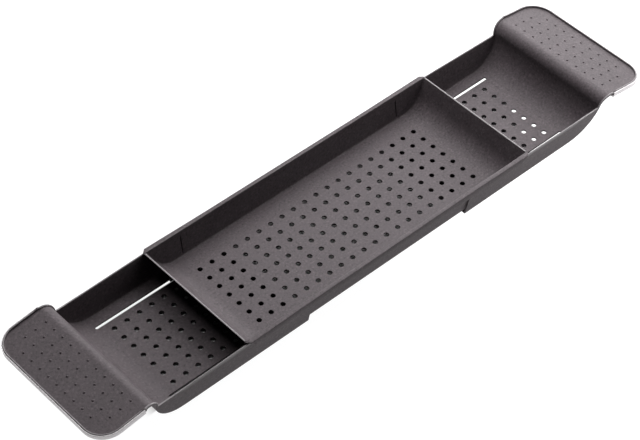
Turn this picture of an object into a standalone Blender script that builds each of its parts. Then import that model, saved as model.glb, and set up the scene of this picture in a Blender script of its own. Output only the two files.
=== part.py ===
"""Extending bath caddy in three nesting trays.

A perforated centre tray hangs inside two end trays that slide in and out along X.
Each end tray sweeps up into a wing that rests on the rim of a bathtub, and the wing
wears a soft grip pad. All lengths are in metres, +Z is up, +X is the caddy's length,
and the origin is on the end trays' underside in the middle of the caddy.
"""
import math

import bmesh
import bpy

# Shells and fits
SHELL = 0.0015
WALL_LEAN_SHARE = 0.171
INNER_FILLET = 0.0015
NEST_GAP = 0.00035
UNDER_GAP = 0.0038
SEAT_GAP = 0.0003
CUT_OVERRUN = 0.004

# Drain holes
HOLE_DIAMETER = 0.005
HOLE_PITCH_ALONG = 0.015
HOLE_PITCH_ACROSS = 0.0142
HOLE_ROWS = 7
CENTRE_HOLE_COLUMNS = 20
END_HOLE_COLUMNS = 10
HOLE_SIDES = 8
HOLE_TO_SWEEP = 0.008

# Centre tray
CENTRE_FLOOR_HALF_WIDTH = 0.0672
CENTRE_DEPTH = 0.029
SCOOP_RADIUS = 0.027
SCOOP_ANGLE = math.radians(61.5)
SCOOP_SEGMENTS = 5
HOLE_TO_SCOOP = 0.010
END_EDGE_HEIGHT = 0.0007
GROOVE_WIDTH = 0.0012
GROOVE_DEPTH = 0.0005
GROOVE_MARGIN = 0.003

# Rim of the centre tray
RIM_THICKNESS = 0.0015
RIM_CHAMFER = 0.0006
RIM_LIP_THICKNESS = 0.00095
RIM_LIP_HEIGHT = 0.0068
RIM_SIDE_GAP = 0.0004
RIM_TOP_GAP = 0.0004
RIM_END_SETBACK = 0.0045
RIM_CORNER = 0.004
RIM_CORNER_SEGMENTS = 3

# Stop pegs under the centre tray and the slots that they run in
SLOT_FROM_WALL = 0.0132
SLOT_WIDTH = 0.0028
SLOT_PAST_SWEEP = 0.003
SLOT_END_SEGMENTS = 4
PEG_FROM_SCOOP = 0.0182
PEG_LENGTH = 0.005
PEG_THICKNESS = 0.0022
PEG_OUT_TRAVEL = 0.004
PEG_FOOT_GAP = 0.0005

# End trays
SWEEP_START = 0.255
SWEEP_OVER_WALL = 0.0026
SWEEP_SEGMENTS = 6
SWEEP_BOW = 0.005
SWEEP_UPRIGHT = 0.0014
CREST_RADIUS = 0.006
CREST_SEGMENTS = 4
FLARE_PAST_SWEEP = 0.007

# Wings
WING_TILT = math.radians(7.77)
WING_LENGTH = 0.0575
WING_FLARE = 0.0021
WING_CORNER = 0.024
WING_CORNER_SEGMENTS = 4
WING_LIP_HEIGHT = 0.0024
WING_LIP_THICKNESS = 0.0013
PIP_ROWS = 11
PIP_COLUMNS = 4
PIP_PITCH_ALONG = 0.01184
PIP_PITCH_ACROSS = 0.01218
PIP_DIAMETER = 0.0019
PIP_HEIGHT = 0.0008
PIP_TOP_DIAMETER = 0.0012
PIP_SIDES = 5
PIP_FROM_CREST = 0.0077

# Grip pads
PAD_FROM_CREST = 0.0056
PAD_THICKNESS = 0.0012
PAD_SKIRT = 0.001
PAD_TOP_SETBACK = 0.0004

# Sizes that follow
END_FLOOR_TOP = SHELL
CENTRE_FLOOR_TOP = END_FLOOR_TOP + UNDER_GAP + SHELL
RIM_TOP = CENTRE_FLOOR_TOP + CENTRE_DEPTH
END_WALL_TOP = RIM_TOP - RIM_THICKNESS - RIM_TOP_GAP
CENTRE_LAST_COLUMN = HOLE_PITCH_ALONG * (CENTRE_HOLE_COLUMNS - 1) / 2
SCOOP_START = CENTRE_LAST_COLUMN + HOLE_TO_SCOOP
OUTER_FILLET = INNER_FILLET + SHELL
LAST_COLUMN = SWEEP_START - HOLE_TO_SWEEP
FIRST_COLUMN = LAST_COLUMN - HOLE_PITCH_ALONG * (END_HOLE_COLUMNS - 1)
END_INNER_EDGE = FIRST_COLUMN - HOLE_PITCH_ALONG / 2
SWEEP_RADIUS = END_WALL_TOP - END_FLOOR_TOP + SWEEP_OVER_WALL
CREST_TOP = END_FLOOR_TOP + SWEEP_RADIUS + SWEEP_UPRIGHT + CREST_RADIUS
CREST_CENTRE = SWEEP_START + SWEEP_BOW + SWEEP_RADIUS + CREST_RADIUS
WING_END = CREST_CENTRE + WING_LENGTH
PAD_START = CREST_CENTRE + PAD_FROM_CREST
FLARE_START = SWEEP_START + FLARE_PAST_SWEEP
FLARE_END = SWEEP_START + SWEEP_RADIUS - WING_LIP_HEIGHT
SLOT_OFFSET = CENTRE_FLOOR_HALF_WIDTH - SLOT_FROM_WALL
SLOT_OUTER_END = SWEEP_START + SLOT_PAST_SWEEP
PEG_OUTER_FACE = SCOOP_START + PEG_FROM_SCOOP
PEG_INNER_FACE = PEG_OUTER_FACE - PEG_LENGTH
SLOT_INNER_END = PEG_INNER_FACE - PEG_OUT_TRAVEL - SEAT_GAP - SLOT_WIDTH / 2
WING_INSET = PAD_SKIRT + SEAT_GAP
LIP_INSET = WING_INSET + WING_LIP_THICKNESS
CREST_END_ANGLE = math.pi / 2 + WING_TILT
# Fillet arcs run from the floor side to the wall side
FILLET_ANGLES = (0.0, math.radians(45), math.radians(90))
# Places across a floor, as shares of its half width
ACROSS_SHARES = (-0.66, -0.33, 0.0, 0.33, 0.66)


def clear_scene():
    for old in list(bpy.data.objects):
        bpy.data.objects.remove(old, do_unlink=True)
    for old in list(bpy.data.collections):
        bpy.data.collections.remove(old)


def make_collection(name):
    collection = bpy.data.collections.new(name)
    bpy.context.scene.collection.children.link(collection)
    return collection


def make_material(name, colour, roughness):
    material = bpy.data.materials.new(name)
    material.use_nodes = True
    shader = material.node_tree.nodes["Principled BSDF"]
    shader.inputs["Base Color"].default_value = (*colour, 1.0)
    shader.inputs["Roughness"].default_value = roughness
    shader.inputs["Metallic"].default_value = 0.0
    material.diffuse_color = (*colour, 1.0)
    return material


def object_from_bmesh(name, shape, collection, origin=(0.0, 0.0, 0.0)):
    """Turn a bmesh in world places into an object whose origin is given."""
    bmesh.ops.recalc_face_normals(shape, faces=shape.faces)
    bmesh.ops.translate(shape, verts=shape.verts, vec=[-place for place in origin])
    mesh = bpy.data.meshes.new(name)
    shape.to_mesh(mesh)
    shape.free()
    piece = bpy.data.objects.new(name, mesh)
    piece.location = origin
    collection.objects.link(piece)
    return piece


def add_loft(shape, rings):
    """Skin closed rings of equally many points, and cap the first and the last."""
    rows = [[shape.verts.new(point) for point in ring] for ring in rings]
    count = len(rows[0])
    for near, far in zip(rows, rows[1:]):
        for index in range(count):
            after = (index + 1) % count
            shape.faces.new((near[index], near[after], far[after], far[index]))
    shape.faces.new(rows[0])
    shape.faces.new(rows[-1])


def loft(name, rings, collection, origin=(0.0, 0.0, 0.0)):
    shape = bmesh.new()
    add_loft(shape, rings)
    return object_from_bmesh(name, shape, collection, origin)


def as_guide(piece):
    piece.hide_render = True
    piece.display_type = "WIRE"
    return piece


def add_boolean(piece, other, operation):
    modifier = piece.modifiers.new(f"{operation.lower()} {other.name}", "BOOLEAN")
    modifier.operation = operation
    modifier.solver = "EXACT"
    modifier.object = as_guide(other)


def finish(piece, material):
    piece.data.materials.append(material)
    piece.data.shade_smooth()
    piece.data.set_sharp_from_angle(angle=math.radians(30))


def wall_face(z, shells):
    """Half width of a leaning wall's face at height z, so many shells out from the inner face."""
    inner = CENTRE_FLOOR_HALF_WIDTH + WALL_LEAN_SHARE * (z - CENTRE_FLOOR_TOP)
    return inner + shells * SHELL


def end_wall_face(z):
    """Half width of an end tray's outer wall face at height z."""
    return wall_face(z, 2) + NEST_GAP


WING_HALF_WIDTH = end_wall_face(CREST_TOP) + WING_FLARE
RIM_HALF_WIDTH = end_wall_face(END_WALL_TOP) + RIM_SIDE_GAP + RIM_LIP_THICKNESS


def mix(low, high, share):
    return low + (high - low) * share


# The centre tray's long section: a flat floor that scoops up to each end

def scoop_point(angle, drop):
    """Point of the scoop at an angle, so far below its upper face."""
    radius = SCOOP_RADIUS + drop
    x = SCOOP_START + radius * math.sin(angle)
    z = CENTRE_FLOOR_TOP + SCOOP_RADIUS - radius * math.cos(angle)
    return x, z


def ramp_point(height, drop):
    """Point of the straight ramp above the scoop, where its face passes a height."""
    x, z = scoop_point(SCOOP_ANGLE, drop)
    return x + (height - z) / math.tan(SCOOP_ANGLE), height


CENTRE_END = ramp_point(RIM_TOP, 0.0)[0]
RIM_HALF_LENGTH = CENTRE_END - RIM_END_SETBACK


def centre_ring(x, z, angle, wall_shells, fillet, top):
    """Section of the centre tray's skin: filleted floor corners and leaning walls up to top."""
    side = []
    room = min(fillet, top - z)
    for turn in FILLET_ANGLES:
        inset = room * (1 - math.sin(turn))
        lift = room * (1 - math.cos(turn))
        place_z = z + lift * math.cos(angle)
        place_x = x - lift * math.sin(angle)
        side.append((place_x, wall_face(place_z, wall_shells) - inset, place_z))
    side.append((x, wall_face(top, wall_shells), top))
    half = side[0][1]
    middle = [(x, half * share, z) for share in ACROSS_SHARES]
    mirrored = [(px, -py, pz) for px, py, pz in reversed(side)]
    return mirrored + middle + side


def centre_rings(drop, wall_shells, fillet, end_height, top):
    """Sections from the middle of the floor to the right end, then mirrored to the left."""
    stations = [(SCOOP_START - SCOOP_RADIUS, CENTRE_FLOOR_TOP - drop, 0.0)]
    for step in range(SCOOP_SEGMENTS + 1):
        angle = SCOOP_ANGLE * step / SCOOP_SEGMENTS
        stations.append((*scoop_point(angle, drop), angle))
    stations.append((*ramp_point(end_height, drop), SCOOP_ANGLE))
    right = [centre_ring(x, z, angle, wall_shells, fillet, top) for x, z, angle in stations]
    left = [[(-px, py, pz) for px, py, pz in ring] for ring in reversed(right)]
    return left + right


def rim_outline(side):
    """Plan of one rim flange, from inside the wall out to its edge, with rounded ends."""
    inner = wall_face(RIM_TOP, 0)
    corner_x = RIM_HALF_LENGTH - RIM_CORNER
    corner_y = RIM_HALF_WIDTH - RIM_CORNER
    right = []
    for step in range(RIM_CORNER_SEGMENTS + 1):
        angle = math.pi / 2 * step / RIM_CORNER_SEGMENTS
        right.append((corner_x + RIM_CORNER * math.cos(angle), corner_y + RIM_CORNER * math.sin(angle)))
    left = [(-x, y) for x, y in reversed(right)]
    outline = [(RIM_HALF_LENGTH, inner - SHELL)] + right + left + [(-RIM_HALF_LENGTH, inner - SHELL)]
    return [(x, side * y) for x, y in outline]


def make_rim(side, guides):
    """A flange along one long wall, with a chamfered edge, and the lip that hangs from it."""
    outline = rim_outline(side)
    narrowed = [(x, y if abs(y) < wall_face(RIM_TOP, 0) else y - side * RIM_CHAMFER) for x, y in outline]
    levels = [
        (outline, RIM_TOP - RIM_THICKNESS),
        (outline, RIM_TOP - RIM_CHAMFER),
        (narrowed, RIM_TOP),
    ]
    flange = loft(f"rim_flange_{side}", [[(x, y, z) for x, y in plan] for plan, z in levels], guides)
    reach = RIM_HALF_LENGTH - RIM_CORNER
    lip_top = RIM_TOP - RIM_CHAMFER
    lip_low = RIM_TOP - RIM_LIP_HEIGHT
    lip_rings = []
    for x in (-reach, reach):
        inner = side * (RIM_HALF_WIDTH - RIM_LIP_THICKNESS)
        outer = side * RIM_HALF_WIDTH
        lip_rings.append([(x, inner, lip_low), (x, outer, lip_low), (x, outer, lip_top), (x, inner, lip_top)])
    lip = loft(f"rim_lip_{side}", lip_rings, guides)
    return flange, lip


def make_peg(side, row, guides):
    """A peg under the scoop that stands down in the end tray's slot."""
    root = CENTRE_FLOOR_TOP + SCOOP_RADIUS / 2
    outline = [
        (PEG_INNER_FACE, PEG_FOOT_GAP),
        (PEG_OUTER_FACE, PEG_FOOT_GAP),
        (PEG_OUTER_FACE, root),
        (PEG_INNER_FACE, root),
    ]
    rings = []
    for y in (-PEG_THICKNESS / 2, PEG_THICKNESS / 2):
        rings.append([(side * x, row * SLOT_OFFSET + y, z) for x, z in outline])
    return loft(f"peg_{side}_{row}", rings, guides)


def hole_cutters(name, columns, low, high, guides, side=1):
    """All the drain holes of one floor, as one set of upright drills."""
    shape = bmesh.new()
    for x in columns:
        for row in range(HOLE_ROWS):
            y = (row - (HOLE_ROWS - 1) / 2) * HOLE_PITCH_ACROSS
            rings = []
            for z in (low, high):
                ring = []
                for step in range(HOLE_SIDES):
                    angle = math.tau * (step + 0.5) / HOLE_SIDES
                    px = side * x + HOLE_DIAMETER / 2 * math.cos(angle)
                    py = y + HOLE_DIAMETER / 2 * math.sin(angle)
                    ring.append((px, py, z))
                rings.append(ring)
            add_loft(shape, rings)
    return object_from_bmesh(name, shape, guides)


def groove_cutters(guides):
    """Upright grooves in the long walls' inner faces, in line with the last hole column."""
    shape = bmesh.new()
    low = CENTRE_FLOOR_TOP + GROOVE_MARGIN
    high = RIM_TOP - GROOVE_MARGIN
    for sign in (-1, 1):
        for side in (-1, 1):
            rings = []
            for z in (low, high):
                face = wall_face(z, 0)
                corners = []
                for x_share, depth in ((-0.5, -GROOVE_DEPTH), (0.5, -GROOVE_DEPTH), (0.5, GROOVE_DEPTH), (-0.5, GROOVE_DEPTH)):
                    x = sign * CENTRE_LAST_COLUMN + x_share * GROOVE_WIDTH
                    corners.append((x, side * (face + depth), z))
                rings.append(corners)
            add_loft(shape, rings)
    return object_from_bmesh("grooves", shape, guides)


def make_centre_tray(parts, guides, material):
    body_rings = centre_rings(SHELL, 1, OUTER_FILLET, RIM_TOP - END_EDGE_HEIGHT, RIM_TOP)
    tray = loft("centre_tray", body_rings, parts)
    for side in (-1, 1):
        for piece in make_rim(side, guides):
            add_boolean(tray, piece, "UNION")
        for row in (-1, 1):
            add_boolean(tray, make_peg(side, row, guides), "UNION")
    hollow_rings = centre_rings(0.0, 0, INNER_FILLET, RIM_TOP + CUT_OVERRUN, RIM_TOP + 2 * CUT_OVERRUN)
    add_boolean(tray, loft("centre_hollow", hollow_rings, guides), "DIFFERENCE")
    add_boolean(tray, groove_cutters(guides), "DIFFERENCE")
    columns = [
        (column - (CENTRE_HOLE_COLUMNS - 1) / 2) * HOLE_PITCH_ALONG
        for column in range(CENTRE_HOLE_COLUMNS)
    ]
    low = CENTRE_FLOOR_TOP - SHELL - CUT_OVERRUN
    high = CENTRE_FLOOR_TOP + CUT_OVERRUN
    add_boolean(tray, hole_cutters("centre_holes", columns, low, high, guides), "DIFFERENCE")
    finish(tray, material)
    return tray


# An end tray's long section: floor, sweep, crest and wing, told by stations

def crest_centre_x(bow):
    return SWEEP_START + bow + SWEEP_RADIUS + CREST_RADIUS


def wing_top(x):
    """Height of the wing's upper face, a plane that touches the crest in the middle."""
    highest = CREST_TOP - CREST_RADIUS + CREST_RADIUS / math.cos(WING_TILT)
    return highest - (x - CREST_CENTRE) * math.tan(WING_TILT)


def crest_centre_z(bow):
    return wing_top(crest_centre_x(bow)) - CREST_RADIUS / math.cos(WING_TILT)


def section_point(station, drop, bow):
    """Point at a station, so far below the upper face, with the sweep bowed outward."""
    kind, value = station
    if kind == "floor":
        return value, END_FLOOR_TOP - drop
    if kind == "sweep":
        radius = SWEEP_RADIUS + drop
        x = SWEEP_START + bow + radius * math.sin(value)
        return x, END_FLOOR_TOP + SWEEP_RADIUS - radius * math.cos(value)
    if kind == "crest":
        radius = CREST_RADIUS - drop
        x = crest_centre_x(bow) - radius * math.cos(value)
        return x, crest_centre_z(bow) + radius * math.sin(value)
    return value, wing_top(value) - drop / math.cos(WING_TILT)


def rounded_half_width(x, inset):
    """Half width of the wing's plan, drawn in by an inset, with its rounded corners."""
    radius = WING_CORNER - inset
    past = max(0.0, x - (WING_END - WING_CORNER))
    return WING_HALF_WIDTH - WING_CORNER + math.sqrt(max(0.0, radius ** 2 - past ** 2))


def half_width(station, x, z, wall_inset, wing_inset):
    """Half width of an end tray's side face at a station's point."""
    kind, value = station
    if kind in ("floor", "sweep"):
        share = (x - FLARE_START) / (FLARE_END - FLARE_START)
        share = min(max(share, 0.0), 1.0)
        if kind == "sweep" and value >= lip_angle():
            share = 1.0
        return end_wall_face(z) + WING_FLARE * share ** 2 - wall_inset
    if kind == "crest":
        share = value / CREST_END_ANGLE
        wall = min(end_wall_face(z) + WING_FLARE, WING_HALF_WIDTH)
        return mix(wall - wall_inset, WING_HALF_WIDTH - wing_inset, share)
    return rounded_half_width(value, wing_inset)


def lip_angle():
    """Sweep angle where the wall's top edge runs into the lip."""
    fall = END_FLOOR_TOP + SWEEP_RADIUS - END_WALL_TOP
    return math.acos(fall / (SWEEP_RADIUS - WING_LIP_HEIGHT))


def edge_rise(station):
    """Height of the side edge over the upper face, square to it."""
    kind, value = station
    if kind == "floor":
        return END_WALL_TOP - END_FLOOR_TOP
    if kind == "sweep" and value < lip_angle():
        fall = END_FLOOR_TOP + SWEEP_RADIUS - END_WALL_TOP
        return SWEEP_RADIUS - fall / math.cos(value)
    return WING_LIP_HEIGHT


def bow_at(y):
    """Outward bow of the sweep, full in the middle and none at the sides."""
    return SWEEP_BOW * max(0.0, 1 - (y / WING_HALF_WIDTH) ** 2)


def end_ring(station, side, drop, wall_inset, wing_inset, fillet, rise):
    """Section of an end tray's skin: filleted lower corners, then sides up to a rise."""
    def sample(below, inset):
        x, z = section_point(station, below, 0.0)
        return x, half_width(station, x, z, wall_inset, wing_inset) - inset, z

    flank = []
    for turn in FILLET_ANGLES:
        flank.append(sample(drop - fillet * (1 - math.cos(turn)), fillet * (1 - math.sin(turn))))
    flank.append(sample(-rise, 0.0))
    middle = []
    for share in ACROSS_SHARES:
        y = flank[0][1] * share
        x, z = section_point(station, drop, bow_at(y))
        middle.append((x, y, z))
    mirrored = [(x, -y, z) for x, y, z in reversed(flank)]
    return [(side * x, y, z) for x, y, z in mirrored + middle + flank]


def corner_stations(inset, first_angle):
    """Wing stations round the outer corners of a plan that is drawn in by an inset."""
    radius = WING_CORNER - inset
    centre = WING_END - WING_CORNER
    stations = []
    for step in range(WING_CORNER_SEGMENTS + 1):
        angle = mix(first_angle, math.pi / 2, step / WING_CORNER_SEGMENTS)
        stations.append(("wing", centre + radius * math.sin(angle)))
    return stations


def sweep_stations():
    stations = []
    for step in range(SWEEP_SEGMENTS + 1):
        stations.append(("sweep", math.pi / 2 * step / SWEEP_SEGMENTS))
    stations.insert(SWEEP_SEGMENTS, ("sweep", lip_angle()))
    for step in range(CREST_SEGMENTS + 1):
        stations.append(("crest", CREST_END_ANGLE * step / CREST_SEGMENTS))
    return stations


def fillet_at(station, floor_fillet, wing_fillet):
    """The corner fillet shrinks from the floor's to the wing's along the sweep."""
    kind, value = station
    if kind == "floor":
        return floor_fillet
    if kind == "sweep":
        return mix(floor_fillet, wing_fillet, value / (math.pi / 2))
    return wing_fillet


def make_end_shell(side, parts, guides, name, origin):
    """The solid block of an end tray, and the hollow that leaves its floor, walls and lip."""
    step_x = PAD_START - SEAT_GAP
    block = []
    for station in [("floor", END_INNER_EDGE)] + sweep_stations() + [("wing", step_x - 2 * SEAT_GAP)]:
        fillet = fillet_at(station, OUTER_FILLET, WING_LIP_THICKNESS / 2)
        block.append(end_ring(station, side, SHELL, 0.0, 0.0, fillet, edge_rise(station)))
    for station in [("wing", step_x)] + corner_stations(WING_INSET, 0.0):
        fillet = WING_LIP_THICKNESS / 2
        block.append(end_ring(station, side, SHELL, 0.0, WING_INSET, fillet, edge_rise(station)))
    hollow = []
    reach = SWEEP_RADIUS - CREST_RADIUS / CREST_SEGMENTS
    inner_stations = [("floor", END_INNER_EDGE - CUT_OVERRUN)] + sweep_stations()
    for station in inner_stations + corner_stations(LIP_INSET, 0.0):
        fillet = fillet_at(station, INNER_FILLET, WING_LIP_THICKNESS)
        hollow.append(end_ring(station, side, 0.0, SHELL, LIP_INSET, fillet, reach))
    tray = loft(name, block, parts, origin)
    add_boolean(tray, loft(f"{name}_hollow", hollow, guides), "DIFFERENCE")
    return tray


def slot_cutters(name, side, guides):
    """Two long slots with round ends, for the centre tray's pegs to run in."""
    shape = bmesh.new()
    radius = SLOT_WIDTH / 2
    for row in (-1, 1):
        outline = []
        for centre, start in ((SLOT_OUTER_END - radius, -math.pi / 2), (SLOT_INNER_END + radius, math.pi / 2)):
            for step in range(SLOT_END_SEGMENTS + 1):
                angle = start + math.pi * step / SLOT_END_SEGMENTS
                outline.append((centre + radius * math.cos(angle), row * SLOT_OFFSET + radius * math.sin(angle)))
        rings = []
        for z in (-CUT_OVERRUN, END_FLOOR_TOP + CUT_OVERRUN):
            rings.append([(side * x, y, z) for x, y in outline])
        add_loft(shape, rings)
    return object_from_bmesh(name, shape, guides)


def pip_places():
    """Places of the grip pips on a wing, all but the two outer corners of their grid."""
    first = CREST_CENTRE + PIP_FROM_CREST
    for column in range(PIP_COLUMNS):
        for row in range(PIP_ROWS):
            if column == PIP_COLUMNS - 1 and row in (0, PIP_ROWS - 1):
                continue
            x = first + column * PIP_PITCH_ALONG * math.cos(WING_TILT)
            yield x, (row - (PIP_ROWS - 1) / 2) * PIP_PITCH_ACROSS


def pip_cones(name, side, guides):
    """Small blunt cones that stand square on the wing's upper face."""
    shape = bmesh.new()
    lean = math.tan(WING_TILT)
    levels = ((-SHELL / 2, PIP_DIAMETER / 2), (PIP_HEIGHT, PIP_TOP_DIAMETER / 2))
    for centre_x, centre_y in pip_places():
        rings = []
        for rise, radius in levels:
            ring = []
            for step in range(PIP_SIDES):
                angle = math.tau * step / PIP_SIDES
                x = centre_x + rise * lean + radius * math.cos(angle)
                y = centre_y + radius * math.sin(angle)
                ring.append((side * x, y, wing_top(x) + rise))
            rings.append(ring)
        add_loft(shape, rings)
    return object_from_bmesh(name, shape, guides)


def make_end_tray(side, parts, guides, material):
    name = "right_tray" if side > 0 else "left_tray"
    tray = make_end_shell(side, parts, guides, name, (side * END_INNER_EDGE, 0.0, 0.0))
    columns = [FIRST_COLUMN + column * HOLE_PITCH_ALONG for column in range(END_HOLE_COLUMNS)]
    holes = hole_cutters(f"{name}_holes", columns, -CUT_OVERRUN, END_FLOOR_TOP + CUT_OVERRUN, guides, side)
    add_boolean(tray, holes, "DIFFERENCE")
    add_boolean(tray, slot_cutters(f"{name}_slots", side, guides), "DIFFERENCE")
    add_boolean(tray, pip_cones(f"{name}_pips", side, guides), "UNION")
    finish(tray, material)
    return tray


def make_grip_pad(side, tray, parts, guides, material):
    """A soft pad under a wing, with a skirt that laps up round the wing's edge."""
    name = "right_grip_pad" if side > 0 else "left_grip_pad"
    low = SHELL + SEAT_GAP + PAD_THICKNESS
    rise = WING_LIP_HEIGHT - PAD_TOP_SETBACK
    block = []
    for station in [("wing", PAD_START)] + corner_stations(0.0, 0.0):
        block.append(end_ring(station, side, low, 0.0, 0.0, PAD_SKIRT, rise))
    hollow = []
    for station in [("wing", PAD_START - CUT_OVERRUN)] + corner_stations(PAD_SKIRT, 0.0):
        fillet = WING_LIP_THICKNESS / 2
        hollow.append(end_ring(station, side, SHELL + SEAT_GAP, 0.0, PAD_SKIRT, fillet, rise + CUT_OVERRUN))
    pad = loft(name, block, parts, tuple(tray.location))
    add_boolean(pad, loft(f"{name}_hollow", hollow, guides), "DIFFERENCE")
    pad.parent = tray
    pad.location = (0.0, 0.0, 0.0)
    finish(pad, material)
    return pad


def build():
    clear_scene()
    parts = make_collection("bath_caddy")
    guides = make_collection("cutters")
    charcoal = (0.045, 0.042, 0.046)
    pale_grey = (0.55, 0.55, 0.57)
    make_centre_tray(parts, guides, make_material("centre_tray_plastic", charcoal, 0.5))
    for side, label in ((-1, "left"), (1, "right")):
        plastic = make_material(f"{label}_tray_plastic", charcoal, 0.5)
        tray = make_end_tray(side, parts, guides, plastic)
        rubber = make_material(f"{label}_pad_rubber", pale_grey, 0.75)
        make_grip_pad(side, tray, parts, guides, rubber)


build()
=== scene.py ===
"""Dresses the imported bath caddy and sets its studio.

Every tray and pad is rebuilt as a fine moulded skin that stands for its CAD node and
rides on the same body. All places are in metres in the row frame.
"""
import logging
import math
from dataclasses import dataclass, field
from enum import Enum

import bmesh
import bpy
import numpy as np
from mathutils import Matrix, Vector


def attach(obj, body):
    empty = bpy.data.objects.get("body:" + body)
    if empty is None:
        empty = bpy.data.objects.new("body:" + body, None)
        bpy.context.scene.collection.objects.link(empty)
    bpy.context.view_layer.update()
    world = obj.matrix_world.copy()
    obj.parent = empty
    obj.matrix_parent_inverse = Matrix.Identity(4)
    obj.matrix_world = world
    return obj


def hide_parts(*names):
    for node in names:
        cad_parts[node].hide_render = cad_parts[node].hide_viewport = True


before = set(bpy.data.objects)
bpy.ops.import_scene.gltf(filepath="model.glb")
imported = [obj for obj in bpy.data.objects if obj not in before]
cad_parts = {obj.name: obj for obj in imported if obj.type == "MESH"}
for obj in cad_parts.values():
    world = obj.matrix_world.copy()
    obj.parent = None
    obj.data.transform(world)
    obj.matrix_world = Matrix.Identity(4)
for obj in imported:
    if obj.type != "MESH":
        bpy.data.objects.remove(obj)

LOG = logging.getLogger("bath_caddy")
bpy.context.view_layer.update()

Array = np.ndarray
Measure = Array | float
Pair = tuple[Array, Array]
Triple = tuple[float, float, float]
Colour = tuple[float, float, float, float]

WELD_GAP = 2e-6
THIN_EDGE = 1e-7
SHARP_ANGLE = math.radians(38.0)
SAME_PLACE = 1e-7
PLACE_DIGITS = 7
TINY = 1e-9
MIRROR_X = np.array([-1.0, 1.0, 1.0])
MIRROR_Y = np.array([1.0, -1.0, 1.0])
BOTH_SIDES = (np.ones(3), MIRROR_Y)


class End(Enum):
    """The two ends of the caddy, valued by the sign of X."""

    LEFT = -1
    RIGHT = 1

    @property
    def label(self) -> str:
        """The end's word in node and slot names."""
        return self.name.lower()


def mix(low: Measure, high: Measure, share: Measure) -> Measure:
    """The value a share of the way from low to high."""
    return low + (high - low) * share


def ease(share: Measure) -> Measure:
    """A smooth step: 3 s squared less 2 s cubed, with s held between 0 and 1."""
    held = np.clip(share, 0.0, 1.0)
    return held * held * (3.0 - 2.0 * held)


def steps(start: float, end: float, count: int) -> Array:
    """Evenly spaced values past the start, up to the end."""
    return np.linspace(start, end, count + 1)[1:]


def arc(count: int, start: float, end: float) -> Pair:
    """The cosines and sines of evenly spaced angles, given in degrees."""
    turn = np.radians(np.linspace(start, end, count))
    return np.cos(turn), np.sin(turn)


def points(*coordinates: Measure) -> Array:
    """Points from their coordinates, each spread over the others."""
    return np.stack(np.broadcast_arrays(*coordinates), axis=-1)


def heading(angle: Array) -> Array:
    """Flat unit directions: the cosine and the sine of each angle."""
    return points(np.cos(angle), np.sin(angle))


def spread(rows: Array, across: Array) -> Array:
    """Carries each point across to its mirror in Y, at shares of its width from the middle."""
    rows = rows[:, None]
    return points(rows[..., 0], rows[..., 1] * across, rows[..., 2])


def each_once(places: Array) -> Array:
    """The places in rising order, each once."""
    return np.unique(np.round(places, PLACE_DIGITS))


def to_border(angles: Array, ahead: float, behind: float, half_y: float) -> Array:
    """Where rays meet an oblong's nearer walls, once the ray nearest each corner turns to it.

    Args:
        angles: the rays' directions.
        ahead, behind: the oblong's reach along +X and -X.
        half_y: its reach along Y.

    Returns:
        The meeting points, n by 2.
    """
    front, back = math.atan2(half_y, ahead), math.atan2(half_y, behind)
    turned = angles.copy()
    for corner in (-front, front, math.pi - back, math.pi + back):
        turned[np.argmax(np.cos(angles - corner))] = corner
    out = heading(turned)
    walls = points(np.where(out[:, 0] > 0.0, ahead, behind), half_y)
    return out * (walls / np.maximum(np.abs(out), TINY)).min(axis=-1, keepdims=True)


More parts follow.
